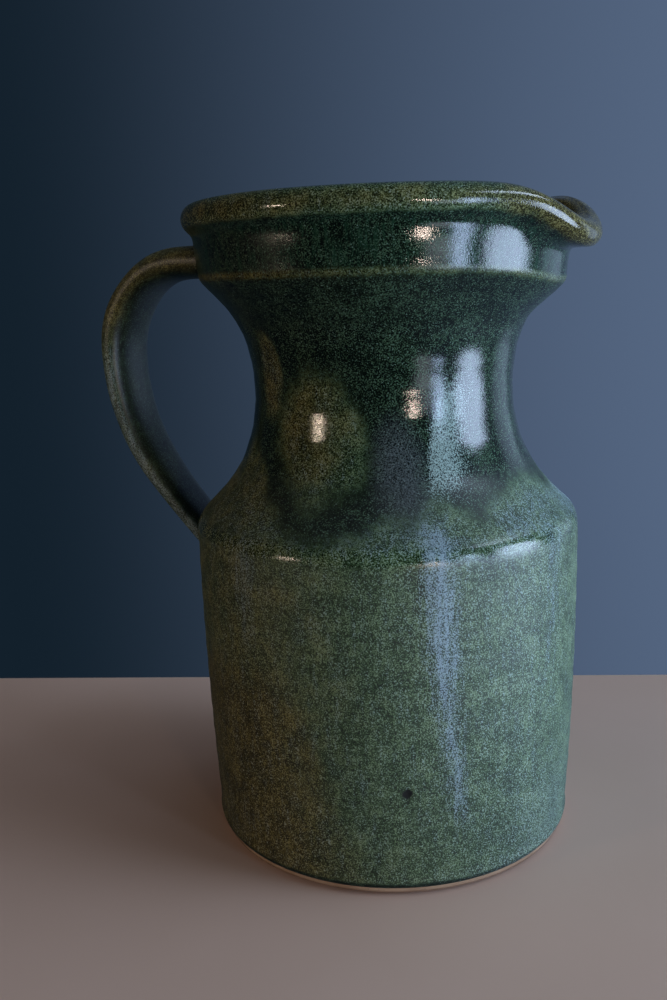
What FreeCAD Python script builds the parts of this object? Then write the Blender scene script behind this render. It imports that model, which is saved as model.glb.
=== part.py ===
import FreeCAD, Part
import math
import os

# A wheel-thrown stoneware jug, built the way a potter builds it: a thrown clay body with a
# pulled pouring lip, a pulled strap handle luted on with slip, and coats of fired glaze.
# Millimetres. +Z is up, the origin is on the jug's axis at the plane of its foot,
# +X points to the pouring lip and -X to the handle.

# Coats of glaze
OUTER_GLAZE = 0.5
LINER_GLAZE = 0.4
SECOND_POUR = 0.3
SECOND_POUR_FROM = 104.0
BARE_FOOT_HEIGHT = 2.6

# Thrown body, outside of the clay
FOOT_RADIUS = 54.4
FOOT_BEVEL = 1.5
BELLY_RADIUS = 58.2
BELLY_HEIGHT = 56.0
SHOULDER_RADIUS = 58.5
SHOULDER_HEIGHT = 100.0
SHOULDER_ROUNDING = 2.6
RIDGE_RADIUS = 53.8
RIDGE_HEIGHT = 172.4
RIDGE_ROUNDING = 0.8
# The waisted neck between the shoulder and the ridge: radius, height
NECK_LINE = [(44.4, 116.0), (39.7, 128.5), (39.15, 146.5), (42.8, 158.9)]
# A coat's corners: how far it rises at the shoulder and sinks at the ridge, per thickness
SHOULDER_COAT_RISE = 0.6
RIDGE_COAT_SINK = 0.5

# Thrown body, inside of the clay
FLOOR_THICKNESS = 7.0
BELLY_WALL = 5.2
NECK_WALL = 5.0
FLOOR_ROUNDING = 9.0
INNER_SHOULDER_ROUNDING = 6.0
INNER_SHOULDER_DROP = 6.0

# Collar, rim and pouring lip
SEAM_HEIGHT = 176.0
SEAM_OUTER_RADIUS = 54.3
SEAM_INNER_RADIUS = 49.2
SEAM_STEP = 0.1
RIM_CENTRE_RADIUS = 52.5
RIM_CENTRE_HEIGHT = 189.8
RIM_TOP_RADIUS = 53.8
RIM_TOP_HEIGHT = 193.3
# Radius and height on the clay, and how far a coat moves the point out and up, per thickness
RIM_OUTER_LINE = [
    (54.8, 181.0, 1.0, 0.0),
    (55.5, 185.2, 1.0, -0.3),
    (57.3, 187.2, 1.0, -0.6),
    (58.1, 189.8, 1.0, 0.0),
    (56.6, 192.4, 0.7, 0.7),
]
RIM_INNER_LINE = [
    (51.0, 192.3, -0.7, 0.7),
    (49.9, 189.6, -1.0, 0.0),
    (49.9, 182.5, -1.0, 0.0),
]
LIP_HALF_ANGLE = 58.0
LIP_SECTIONS = 20
SIDE_SECTIONS = 11
LIP_REACH = 6.3
LIP_DROP = 7.4
LIP_TILT = 20.0
LIP_REACH_ANGLE = 25.5
LIP_DROP_ANGLE = 19.0
LIP_SHARPNESS = 2.5
LIP_FULL_HEIGHT = 185.8
LIP_THINNING = 0.12

# Strap handle: width across the jug, thickness along its reach
STRAP_TOP = (23.0, 10.4)
STRAP_BOTTOM = (14.5, 5.8)
STRAP_TAPER = 1.15
STRAP_FLARE = 1.35
SLIP_OVERHANG = 0.8
HANDLE_LINE = [
    (50.0, 177.9),
    (62.0, 178.4),
    (76.0, 176.8),
    (87.4, 168.6),
    (93.4, 158.0),
    (94.7, 146.0),
    (92.7, 132.0),
    (87.0, 117.4),
    (77.8, 104.0),
    (66.8, 91.4),
    (53.0, 76.6),
]

ORIGIN = FreeCAD.Vector(0, 0, 0)
UP = FreeCAD.Vector(0, 0, 1)


def spot(radius, height):
    """A point of the upright half-plane that holds the lip."""
    return FreeCAD.Vector(radius, 0, height)


def smooth_edge(points):
    """An edge of one smooth curve through the points."""
    curve = Part.BSplineCurve()
    curve.interpolate(Points=points)
    return curve.toShape()


def turned(edges):
    """The solid that a closed outline makes when it turns once about the axis."""
    return Part.Face(Part.Wire(edges)).revolve(ORIGIN, UP, 360.0)


def edges_near(solid, radius, height, reach=0.7):
    """The round edges of a turned solid that pass close to a radius and height."""
    found = []
    for edge in solid.Edges:
        point = edge.valueAt(edge.FirstParameter)
        around = math.hypot(point.x, point.y)
        is_ring = edge.isClosed() and edge.BoundBox.ZLength < 0.01
        if is_ring and math.hypot(around - radius, point.z - height) < reach:
            found.append(edge)
    return found


def neck_points(shift):
    """The neck's outline from the shoulder to the ridge, moved along its own normals."""
    outline = [spot(SHOULDER_RADIUS, SHOULDER_HEIGHT)]
    outline += [spot(radius, height) for radius, height in NECK_LINE]
    outline.append(spot(RIDGE_RADIUS, RIDGE_HEIGHT))
    curve = Part.BSplineCurve()
    curve.interpolate(Points=outline)
    moved = []
    for point in outline:
        along = curve.tangent(curve.parameter(point))[0]
        outward = FreeCAD.Vector(along.z, 0, -along.x)
        moved.append(point + outward * shift)
    return moved


def filled_outside(shift):
    """The jug below the seam as a full solid, its outside moved out by a distance."""
    neck = neck_points(shift)
    corner = spot(SHOULDER_RADIUS + shift, SHOULDER_HEIGHT + SHOULDER_COAT_RISE * shift)
    ridge = spot(RIDGE_RADIUS + shift, RIDGE_HEIGHT - RIDGE_COAT_SINK * shift)
    foot = spot(FOOT_RADIUS + FOOT_BEVEL + shift, FOOT_BEVEL)
    belly = spot(BELLY_RADIUS + shift, BELLY_HEIGHT)
    points = [corner] + neck[1:-1] + [ridge]
    seam = spot(SEAM_OUTER_RADIUS + shift, SEAM_HEIGHT)
    wall = Part.Arc(foot, belly, corner).toShape()
    edges = [wall, smooth_edge(points), Part.makeLine(ridge, seam)]
    edges.append(Part.makeLine(seam, spot(0, SEAM_HEIGHT)))
    edges.append(Part.makeLine(spot(0, SEAM_HEIGHT), spot(0, 0)))
    edges.append(Part.makeLine(spot(0, 0), spot(FOOT_RADIUS + shift, 0)))
    edges.append(Part.makeLine(spot(FOOT_RADIUS + shift, 0), foot))
    solid = turned(edges)
    solid = solid.makeFillet(SHOULDER_ROUNDING + shift, edges_near(solid, corner.x, corner.z))
    return solid.makeFillet(RIDGE_ROUNDING + shift, edges_near(solid, ridge.x, ridge.z))


def filled_inside(shift):
    """The hollow below the seam as a full solid, its wall moved in by a distance."""
    floor = FLOOR_THICKNESS + shift
    belly = SHOULDER_RADIUS - BELLY_WALL - shift
    neck = neck_points(-NECK_WALL - shift)
    low = spot(FOOT_RADIUS + FOOT_BEVEL - BELLY_WALL - shift, floor)
    shoulder = spot(belly, SHOULDER_HEIGHT - INNER_SHOULDER_DROP - shift)
    seam = spot(SEAM_INNER_RADIUS - shift, SEAM_HEIGHT)
    flare = [shoulder] + neck[1:-1] + [seam]
    edges = [Part.makeLine(spot(0, floor), low), Part.makeLine(low, shoulder)]
    edges.append(smooth_edge(flare))
    edges.append(Part.makeLine(seam, spot(0, SEAM_HEIGHT)))
    edges.append(Part.makeLine(spot(0, SEAM_HEIGHT), spot(0, floor)))
    solid = turned(edges)
    solid = solid.makeFillet(FLOOR_ROUNDING - shift, edges_near(solid, low.x, low.z))
    rounding = INNER_SHOULDER_ROUNDING - shift
    return solid.makeFillet(rounding, edges_near(solid, shoulder.x, shoulder.z))


def lip_pull(angle):
    """How far the lip is pulled out and down at an angle from +X, each from 0 to 1."""
    out = math.exp(-((abs(angle) / LIP_REACH_ANGLE) ** LIP_SHARPNESS))
    down = math.exp(-((abs(angle) / LIP_DROP_ANGLE) ** LIP_SHARPNESS))
    return out, down


def rim_point(radius, height, angle):
    """Moves a point of the collar's outline to its place on the pulled lip."""
    out, down = lip_pull(angle)
    share = min(1.0, (height - SEAM_HEIGHT) / (LIP_FULL_HEIGHT - SEAM_HEIGHT))
    tilt = math.radians(LIP_TILT) * out * share
    along = radius - RIM_CENTRE_RADIUS
    above = (height - RIM_CENTRE_HEIGHT) * (1.0 - LIP_THINNING * out * share)
    turned_along = along * math.cos(tilt) + above * math.sin(tilt)
    turned_above = above * math.cos(tilt) - along * math.sin(tilt)
    new_radius = RIM_CENTRE_RADIUS + turned_along + LIP_REACH * out * share
    new_height = RIM_CENTRE_HEIGHT + turned_above - LIP_DROP * down * share
    return spot(new_radius, new_height)


def coated_points(line, angle, shift):
    """The points of a rim outline at an angle, under a coat of a given thickness."""
    return [
        rim_point(radius + out * shift, height + up * shift, angle) for radius, height, out, up in line
    ]


def rim_outside(angle, shift):
    """The collar's outside from the seam over the rim's bead to its top."""
    seam = rim_point(SEAM_OUTER_RADIUS + SEAM_STEP + shift, SEAM_HEIGHT, angle)
    top = rim_point(RIM_TOP_RADIUS, RIM_TOP_HEIGHT + shift, angle)
    return [seam] + coated_points(RIM_OUTER_LINE, angle, shift) + [top]


def rim_inside(angle, shift):
    """The collar's inside from the rim's top down to the seam."""
    over_top = OUTER_GLAZE * min(1.0, shift / LINER_GLAZE)
    top = rim_point(RIM_TOP_RADIUS, RIM_TOP_HEIGHT + over_top, angle)
    seam = rim_point(SEAM_INNER_RADIUS - SEAM_STEP - shift, SEAM_HEIGHT, angle)
    return [top] + coated_points(RIM_INNER_LINE, angle, shift) + [seam]


def clay_outline(angle):
    """The closed outline of the clay above the seam."""
    outside = rim_outside(angle, 0.0)
    inside = rim_inside(angle, 0.0)
    base = Part.makeLine(inside[-1], outside[0])
    return [smooth_edge(outside), smooth_edge(inside), base]


def coat_outline(angle, side, shift):
    """The closed outline of a coat of glaze above the seam, on one side of the wall."""
    on_clay = side(angle, 0.0)
    on_top = side(angle, shift)
    closing = Part.makeLine(on_top[-1], on_clay[-1])
    opening = Part.makeLine(on_clay[0], on_top[0])
    return [opening, smooth_edge(on_top), closing, smooth_edge(on_clay)]


def section_angles():
    """The angles of the collar's sections from the back round to the back again."""
    side = [LIP_HALF_ANGLE + (180.0 - LIP_HALF_ANGLE) * n / SIDE_SECTIONS for n in range(1, SIDE_SECTIONS)]
    front = [LIP_HALF_ANGLE * (2.0 * n / LIP_SECTIONS - 1.0) for n in range(LIP_SECTIONS + 1)]
    return [-180.0] + [-angle for angle in reversed(side)] + front + side


def collar_ring(outline):
    """Carries an outline once round the collar, through the pulled lip."""
    wires = []
    for angle in section_angles():
        wire = Part.Wire(outline(angle))
        wire.rotate(ORIGIN, UP, angle)
        wires.append(wire)
    return Part.makeLoft(wires, True, False, True)


def strap_solid(shift):
    """The whole strap, its ends running into the wall, its skin moved out by a distance."""
    points = [FreeCAD.Vector(-radius, 0, height) for radius, height in HANDLE_LINE]
    line = Part.BSplineCurve()
    line.interpolate(Points=points)
    sections = []
    for index, point in enumerate(points):
        share = index / (len(points) - 1)
        along = line.tangent(line.parameter(point))[0]
        drawn = share**STRAP_TAPER
        width = STRAP_TOP[0] + (STRAP_BOTTOM[0] - STRAP_TOP[0]) * drawn
        thickness = STRAP_TOP[1] + (STRAP_BOTTOM[1] - STRAP_TOP[1]) * drawn
        if index in (0, len(points) - 1):
            width *= STRAP_FLARE
            thickness *= STRAP_FLARE
        across = FreeCAD.Vector(0, width / 2 + shift, 0)
        through = along.cross(FreeCAD.Vector(0, 1, 0)) * (thickness / 2 + shift)
        oval = Part.Ellipse(point + across, point + through, point)
        sections.append(Part.Wire(oval.toShape()))
    return Part.makeLoft(sections, True, False)


def one_solid(shape):
    """The largest solid of a shape, which drops the stub left inside the wall."""
    solids = sorted(shape.Solids, key=lambda solid: solid.Volume)
    return solids[-1]


def filled_collar(shift):
    """The collar behind the lip as a full solid, its outside moved out by a distance."""
    outside = rim_outside(180.0, shift)
    top = outside[-1]
    edges = [smooth_edge(outside), Part.makeLine(top, spot(0, top.z))]
    edges.append(Part.makeLine(spot(0, top.z), spot(0, SEAM_HEIGHT)))
    edges.append(Part.makeLine(spot(0, SEAM_HEIGHT), outside[0]))
    return turned(edges)


def second_pour_solid():
    """The darker coat poured over the neck, from above the shoulder to the seam."""
    outer = filled_outside(OUTER_GLAZE + SECOND_POUR)
    inner = filled_outside(OUTER_GLAZE)
    below = Part.makeCylinder(2 * SHOULDER_RADIUS, SECOND_POUR_FROM)
    return outer.cut(inner).cut(below)


def save(name, shape):
    """Writes one piece as a STEP file and prints its size."""
    box = shape.BoundBox
    shape.exportStep("parts/" + name + ".step")
    print(name, "solids", len(shape.Solids), "valid", shape.isValid(), "volume", round(shape.Volume))
    corners = [box.XMin, box.XMax, box.YMin, box.YMax, box.ZMin, box.ZMax]
    print("   box", [round(value, 2) for value in corners])


def build():
    """Builds every piece of the jug and writes its file."""
    os.makedirs("parts", exist_ok=True)
    outside = filled_outside(0.0)
    coated = filled_outside(OUTER_GLAZE)
    inside = filled_inside(0.0)
    lined = filled_inside(LINER_GLAZE)

    clay = outside.cut(inside).fuse(collar_ring(clay_outline)).removeSplitter()
    save("thrown_body", clay)

    clay_block = outside.fuse(filled_collar(0.0))
    coated_block = coated.fuse(filled_collar(OUTER_GLAZE))
    strap = strap_solid(0.0)
    strap_reach = strap_solid(SLIP_OVERHANG)
    save("pulled_handle", one_solid(strap.cut(coated_block)))

    slip = strap_reach.common(coated_block.cut(clay_block))
    patches = sorted(slip.Solids, key=lambda solid: solid.BoundBox.ZMax)
    save("handle_foot_slip", patches[0])
    save("handle_top_slip", patches[-1])

    glazed_strap = strap_solid(OUTER_GLAZE).cut(strap)
    save("handle_glaze", one_solid(glazed_strap.cut(coated_block)))

    bare_foot = Part.makeCylinder(2 * SHOULDER_RADIUS, BARE_FOOT_HEIGHT)
    coat = coated.cut(outside).cut(bare_foot)
    collar_coat = collar_ring(lambda angle: coat_outline(angle, rim_outside, OUTER_GLAZE))
    coat = coat.fuse(collar_coat).removeSplitter().cut(strap_reach)
    save("outer_glaze", one_solid(coat))

    liner = inside.cut(lined)
    collar_liner = collar_ring(lambda angle: coat_outline(angle, rim_inside, LINER_GLAZE))
    save("liner_glaze", one_solid(liner.fuse(collar_liner).removeSplitter()))

    save("second_pour_glaze", one_solid(second_pour_solid().cut(strap_solid(OUTER_GLAZE))))


build()
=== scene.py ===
import logging
import math
from dataclasses import dataclass, field
from enum import Enum
from typing import Optional, Sequence, Union

import bpy
import numpy as np
from mathutils import Matrix, Vector


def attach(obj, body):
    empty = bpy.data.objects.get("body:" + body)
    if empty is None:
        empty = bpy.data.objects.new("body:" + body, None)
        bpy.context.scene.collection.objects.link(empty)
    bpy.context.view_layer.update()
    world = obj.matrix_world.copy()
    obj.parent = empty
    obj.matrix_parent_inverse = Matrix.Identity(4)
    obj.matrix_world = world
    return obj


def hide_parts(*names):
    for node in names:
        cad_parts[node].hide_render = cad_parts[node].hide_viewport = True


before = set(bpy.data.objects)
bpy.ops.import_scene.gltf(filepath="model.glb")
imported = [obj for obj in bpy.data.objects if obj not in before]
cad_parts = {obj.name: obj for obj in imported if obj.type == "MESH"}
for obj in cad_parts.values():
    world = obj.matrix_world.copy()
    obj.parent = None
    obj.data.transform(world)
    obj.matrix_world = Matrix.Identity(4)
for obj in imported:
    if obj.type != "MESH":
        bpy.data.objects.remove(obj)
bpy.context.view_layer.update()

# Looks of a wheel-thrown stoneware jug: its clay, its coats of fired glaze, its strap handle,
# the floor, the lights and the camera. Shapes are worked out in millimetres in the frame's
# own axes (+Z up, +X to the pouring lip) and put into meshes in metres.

MM = 0.001
BODY = "root"

# In millimetres: the steps between an outline's samples and round its corners, the radius of
# the ring of points round a pole, and how far a coat's hidden back sinks into the clay.
STEP = 0.25
CORNER_STEP = 0.2
POLE = 0.4
TUCK = 0.02

logging.basicConfig(level=logging.INFO, format="%(message)s")
log = logging.getLogger("jug")

Array = np.ndarray


class Slot(Enum):
    """The record's material slots."""

    CLAY = "stoneware_clay"
    GREEN = "green_glaze"
    LINER = "liner_glaze"


class Hue(Enum):
    """Fired colours, as sRGB hex values."""

    MID_GREEN = "32482c"
    LIGHT_FLECK = "7d9670"
    DARK_FLECK = "151d12"
    OLIVE = "3f390f"
    OLIVE_FLECK = "85804d"
    OLIVE_DARK = "19150a"
    BOTTLE = "060c08"
    BOTTLE_STREAK = "1a3826"
    BOTTLE_FLECK = "4c6e52"
    MILK = "8fa6b2"
    PALE_GREEN = "98b0a9"
    MAUVE_GREY = "525b5c"
    IRON = "060705"
    FOOT_BOTTOM_BROWN = "5b3d2c"
    BUFF_CLAY = "b59c82"
    BUFF_SHADE = "9a7f66"
    GROG = "5e4a3a"
    FLOOR = "d6b9a7"
    FLOOR_SHADE = "cdb09c"


def linear(hue: Union[Hue, str]) -> tuple[float, float, float, float]:
    """Turns an sRGB hex colour into the linear colour that shaders take.

    Args:
        hue: A named hue or six hex digits.

    Returns:
        Linear red, green, blue and an alpha of 1.
    """
    text = hue.value if isinstance(hue, Hue) else hue
    levels = [int(text[place : place + 2], 16) / 255.0 for place in (0, 2, 4)]
    toned = [x / 12.92 if x <= 0.04045 else ((x + 0.055) / 1.055) ** 2.4 for x in levels]
    return (toned[0], toned[1], toned[2], 1.0)


# ---------------------------------------------------------------- curves and surfaces


def spline(points: Sequence[tuple[float, float]], step: float = STEP) -> Array:
    """A natural cubic spline through points, sampled at even chord steps.

    The knots are the chord lengths, and the second derivatives solve the usual
    tridiagonal system with none at the two ends.

    Args:
        points: The (radius, height) points it passes through.
        step: The distance between samples along the chords.

    Returns:
        An array of points, one row each.
    """
    p = np.asarray(points, float)
    knots = np.concatenate([[0.0], np.cumsum(np.linalg.norm(np.diff(p, axis=0), axis=1))])
    gaps = np.diff(knots)
    size = len(p)
    system = np.eye(size)
    right = np.zeros_like(p)
    for row in range(1, size - 1):
        system[row, row - 1 : row + 2] = (gaps[row - 1], 2 * (gaps[row - 1] + gaps[row]), gaps[row])
        right[row] = 6 * ((p[row + 1] - p[row]) / gaps[row] - (p[row] - p[row - 1]) / gaps[row - 1])
    bend = np.linalg.solve(system, right)
    at = np.linspace(0.0, knots[-1], max(2, int(knots[-1] / step) + 1))
    span = np.clip(np.searchsorted(knots, at, side="right") - 1, 0, size - 2)
    h = gaps[span][:, None]
    a = ((knots[span + 1] - at)[:, None]) / h
    b = 1.0 - a
    curve = (a**3 - a) * bend[span] + (b**3 - b) * bend[span + 1]
    return a * p[span] + b * p[span + 1] + curve * h**2 / 6.0


def straight(start: tuple[float, float], end: tuple[float, float], step: float = STEP) -> Array:
    """Points evenly along a straight run, both ends included."""
    count = max(2, int(math.dist(start, end) / step) + 1)
    return np.linspace(np.asarray(start, float), np.asarray(end, float), count)


def joined(first: Array, second: Array, rounding: float) -> Array:
    """Joins two runs that meet at a corner, and rounds the corner.

    Each run is cut back by the rounding, and a quadratic Bezier with the corner as its
    middle control point bridges the gap.

    Args:
        first: The run that ends at the corner.
        second: The run that starts there.
        rounding: How far each run is cut back.

    Returns:
        The joined run.
    """
    corner = second[0]
    kept_first = first[np.linalg.norm(first - corner, axis=1) > rounding]
    kept_second = second[np.linalg.norm(second - corner, axis=1) > rounding]
    share = np.linspace(0.0, 1.0, 2 + int(rounding / CORNER_STEP))[1:-1, None]
    start, end = kept_first[-1], kept_second[0]
    bridge = (1 - share) ** 2 * start + 2 * share * (1 - share) * corner + share**2 * end
    return np.vstack([kept_first, bridge, kept_second])


def arc_length(line: Array) -> Array:
    """The distance along a line of points to each point."""
    return np.concatenate([[0.0], np.cumsum(np.linalg.norm(np.diff(line, axis=0), axis=1))])


def resampled(line: Array, count: int, closeness: Optional[Array] = None) -> Array:
    """Spreads points along a line, closer together where closeness is higher.

    The cumulative sum of length times closeness is cut into equal shares.

    Args:
        line: The points to follow.
        count: How many points to give back.
        closeness: A weight at each point of the line; even if left out.

    Returns:
        The new points, with the line's two ends kept.
    """
    weight = np.ones(len(line)) if closeness is None else closeness
    steps = np.linalg.norm(np.diff(line, axis=0), axis=1) * 0.5 * (weight[1:] + weight[:-1])
    along = np.concatenate([[0.0], np.cumsum(steps)])
    at = np.linspace(0.0, along[-1], count)
    return np.stack([np.interp(at, along, line[:, axis]) for axis in range(line.shape[1])], axis=1)


def normals_of(line: Array) -> Array:
    """The unit normals on a line's right hand: outward for a profile drawn upwards."""
    along = np.gradient(line, axis=0)
    along /= np.linalg.norm(along, axis=1, keepdims=True) + 1e-12
    return np.stack([along[:, 1], -along[:, 0]], axis=1)


def smoothstep(low: Union[float, Array], high: Union[float, Array], value: Array) -> Array:
    """Rises from 0 at low to 1 at high along 3t^2 - 2t^3."""
    t = np.clip((value - low) / (high - low), 0.0, 1.0)
    return t * t * (3.0 - 2.0 * t)


def between(low: float, risen: float, falling: float, high: float, value: Array) -> Array:
    """Is 1 from risen to falling and 0 outside low and high, with smooth steps between."""
    return smoothstep(low, risen, value) * (1.0 - smoothstep(falling, high, value))


def lobe(value: Array, middle: float, width: Union[float, Array], power: float = 2.0) -> Array:
    """Falls on both sides of a middle as exp(-(|value - middle| / width)^power)."""
    return np.exp(-((np.abs(value - middle) / width) ** power))


def mesh_from_grid(
    name: str, grid: Array, wrap_u: bool, wrap_v: bool, start_cap: bool = False, end_cap: bool = False
) -> bpy.types.Object:
    """Puts a grid of points into a mesh of quads, with optional pole caps.

    Point (u, v) of the grid is vertex u * columns + v, and each quad joins it to its
    neighbours at u + 1 and v + 1. A wrapped direction joins its last row to its first.
    A cap closes the first or last column with a fan to that column's mean point.

    Args:
        name: The piece's name.
        grid: Points in millimetres, shaped (rows, columns, 3).
        wrap_u: Whether the rows close into a ring.
        wrap_v: Whether the columns close into a ring.
        start_cap: Whether the first column gets a fan.
        end_cap: Whether the last column gets a fan.

    Returns:
        The new object, linked into the scene, at the origin.
    """
    rows, columns = grid.shape[:2]
    u = np.arange(rows if wrap_u else rows - 1)
    v = np.arange(columns if wrap_v else columns - 1)
    uu, vv = np.meshgrid(u, v, indexing="ij")
    next_u, next_v = (uu + 1) % rows, (vv + 1) % columns
    quads = np.stack(
        [uu * columns + vv, next_u * columns + vv, next_u * columns + next_v, uu * columns + next_v],
        axis=-1,
    ).reshape(-1, 4)
    points = grid.reshape(-1, 3)
    fans = []
    for wanted, column, forward in ((start_cap, 0, False), (end_cap, columns - 1, True)):
        if not wanted:
            continue
        ring = np.arange(rows) * columns + column
        pole = len(points)
        points = np.vstack([points, grid[:, column].mean(axis=0)])
        ahead = np.roll(ring, -1)
        order = (ring, ahead) if forward else (ahead, ring)
        fans.append(np.stack([order[0], order[1], np.full(rows, pole)], axis=1))
    triangles = np.vstack(fans) if fans else np.zeros((0, 3), int)
    mesh = bpy.data.meshes.new(name)
    mesh.vertices.add(len(points))
    mesh.vertices.foreach_set("co", (points * MM).ravel())
    corners = np.concatenate([quads.ravel(), triangles.ravel()]).astype(np.int32)
    mesh.loops.add(len(corners))
    mesh.loops.foreach_set("vertex_index", corners)
    sizes = np.concatenate([np.full(len(quads), 4), np.full(len(triangles), 3)])
    starts = np.concatenate([[0], np.cumsum(sizes)[:-1]]).astype(np.int32)
    mesh.polygons.add(len(sizes))
    mesh.polygons.foreach_set("loop_start", starts)
    mesh.polygons.foreach_set("use_smooth", np.ones(len(sizes), bool))
    mesh.update(calc_edges=True)
    mesh.validate()
    piece = bpy.data.objects.new(name, mesh)
    bpy.context.scene.collection.objects.link(piece)
    return piece


def add_field(piece: bpy.types.Object, name: str, values: Array) -> None:
    """Writes one number per vertex into a mesh attribute that materials can read."""
    count = len(piece.data.vertices)
    filled = np.zeros(count, np.float32)
    flat = values.ravel()
    filled[: len(flat)] = flat
    filled[len(flat) :] = flat[-1]
    layer = piece.data.attributes.new(name, "FLOAT", "POINT")
    layer.data.foreach_set("value", filled)


def report(piece: bpy.types.Object) -> None:
    """Logs a piece's name and its count of triangles."""
    piece.data.calc_loop_triangles()
    log.info("%s: %d triangles", piece.name, len(piece.data.loop_triangles))


# ---------------------------------------------------------------- the thrown form


@dataclass(frozen=True)
class ThrownForm:
    """The jug's thrown shape in clay, as an outline turned about the axis, then pulled.

    Sizes are millimetres, angles degrees, and both are those of the frame. A band gives the
    heights where an effect sets in and is full and, where it has four, where it starts to
    fade and is gone.
    """

    foot_radius: float = 54.9
    foot_bevel: float = 1.0
    belly_radius: float = 58.2
    belly_height: float = 56.0
    shoulder_radius: float = 58.5
    shoulder_height: float = 100.0
    shoulder_rounding: float = 3.0
    neck_radius: float = 38.8
    neck_height: float = 139.0
    ridge_radius: float = 53.8
    ridge_height: float = 172.4
    ridge_rounding: float = 0.8
    wall: float = 5.1
    floor: float = 7.0
    inner_shoulder_rounding: float = 5.0
    inner_heel_rounding: float = 8.0
    rim_centre: tuple[float, float] = (52.5, 189.8)
    rim_top: tuple[float, float] = (53.8, 193.3)
    lip_reach: float = 6.3
    lip_drop: float = 7.4
    lip_tilt: float = 20.0
    lip_reach_angle: float = 25.5
    lip_drop_angle: float = 19.0
    lip_sharpness: float = 2.5
    lip_turn: float = -4.0
    lip_thinning: float = 0.12
    lip_band: tuple[float, float] = (178.0, 187.0)
    ridge_sag: float = 3.5
    ridge_sag_angle: float = 27.0
    ridge_sag_band: tuple[float, float, float, float] = (156.0, 171.0, 174.0, 188.0)
    ring_pitch: float = 9.0
    ring_depth: float = 0.06
    fine_ring_depth: float = 0.04
    ringed_band: tuple[float, float, float, float] = (1.0, 12.0, 170.0, 176.0)
    oval: float = 0.22
    three_sided: float = 0.12

    def neck_line(self) -> list[tuple[float, float]]:
        """The waisted neck's points from the shoulder to the ridge."""
        waist, top = self.neck_radius, self.ridge_height
        return [
            (self.shoulder_radius, self.shoulder_height),
            (waist + 5.6, self.shoulder_height + 16.0),
            (waist + 0.9, self.neck_height - 10.5),
            (waist + 0.35, self.neck_height + 7.5),
            (waist + 4.0, top - 13.5),
            (self.ridge_radius, top),
        ]

    def belly_line(self) -> Array:
        """The belly from the foot's bevel to the shoulder, as a parabola through three radii."""
        heights = np.array([self.foot_bevel, self.belly_height, self.shoulder_height])
        radii = np.array([self.foot_radius + self.foot_bevel, self.belly_radius, self.shoulder_radius])
        height = np.linspace(heights[0], heights[-1], 400)
        radius = np.polyval(np.polyfit(heights, radii, 2), height)
        return np.stack([radius, height], axis=1)

    def outside(self) -> Array:
        """The outside from the foot's bevel to the top of the rim."""
        neck = spline(self.neck_line())
        ridge = (self.ridge_radius, self.ridge_height)
        rim = [
            ridge,
            (54.2, 176.5),
            (54.8, 181.5),
            (55.5, 185.2),
            (57.3, 187.2),
            (58.1, 189.8),
            (56.6, 192.4),
            self.rim_top,
        ]
        line = joined(self.belly_line(), neck, self.shoulder_rounding)
        return joined(line, spline(rim), self.ridge_rounding)

    def inside(self) -> Array:
        """The inside from the top of the rim down to the middle of the floor."""
        neck = [(radius - self.wall, height) for radius, height in self.neck_line()]
        belly_wall = self.shoulder_radius - self.wall
        low_wall = self.foot_radius + self.foot_bevel - self.wall
        flare = [
            self.rim_top,
            (51.0, 192.3),
            (49.9, 189.6),
            (49.9, 183.5),
            (48.9, 175.0),
            neck[4],
            neck[3],
            neck[2],
            neck[1],
            (belly_wall, self.shoulder_height - 7.0),
        ]
        wall = straight(flare[-1], (low_wall, self.floor))
        bottom = straight((low_wall, self.floor), (POLE, self.floor))
        side = joined(spline(flare), wall, self.inner_shoulder_rounding)
        return joined(side, bottom, self.inner_heel_rounding)

    def pulled(self, radius: Array, height: Array, angle: Array) -> tuple[Array, Array]:
        """Moves points of the turned outline to their place on the hand-worked jug.

        The lip: near +X the rim moves out, tips outwards and drops, by amounts that fall
        off as exp(-(angle / width)^sharpness) round the rim and as a smooth step down the
        collar. Below it the ridge sags by a wider exp(-(angle / width)^2). The hand: shallow
        spiral throwing rings, as two sine waves along a helix, and a wall a hair out of
        round, as an oval and a three-sided wave of the angle.

        Args:
            radius: Distances from the axis.
            height: Heights above the foot.
            angle: Angles from +X in degrees, -180 to 180.

        Returns:
            The moved radii and heights.
        """
        rim_radius, rim_height = self.rim_centre
        share = smoothstep(*self.lip_band, height)
        out = lobe(angle, self.lip_turn, self.lip_reach_angle, self.lip_sharpness) * share
        down = lobe(angle, self.lip_turn, self.lip_drop_angle, self.lip_sharpness) * share
        tilt = math.radians(self.lip_tilt) * out
        along = radius - rim_radius
        above = (height - rim_height) * (1.0 - self.lip_thinning * out)
        new_radius = rim_radius + along * np.cos(tilt) + above * np.sin(tilt) + self.lip_reach * out
        new_height = rim_height + above * np.cos(tilt) - along * np.sin(tilt) - self.lip_drop * down
        sag = lobe(angle, 0.0, self.ridge_sag_angle) * between(*self.ridge_sag_band, height)
        new_height = new_height - self.ridge_sag * sag
        turn = np.radians(angle)
        spiral = height * 2.0 * math.pi / self.ring_pitch + turn
        rings = self.ring_depth * np.sin(spiral)
        rings = rings + self.fine_ring_depth * np.sin(2.3 * spiral + 1.3 * np.sin(turn))
        waves = self.oval * np.cos(2.0 * turn + 0.7)
        waves = waves + self.three_sided * np.cos(3.0 * turn - 0.4 + height / 60.0)
        hand = rings * between(*self.ringed_band, height) + waves * smoothstep(0.0, 30.0, height)
        return new_radius + hand * smoothstep(3.0, 40.0, radius), new_height


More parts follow.
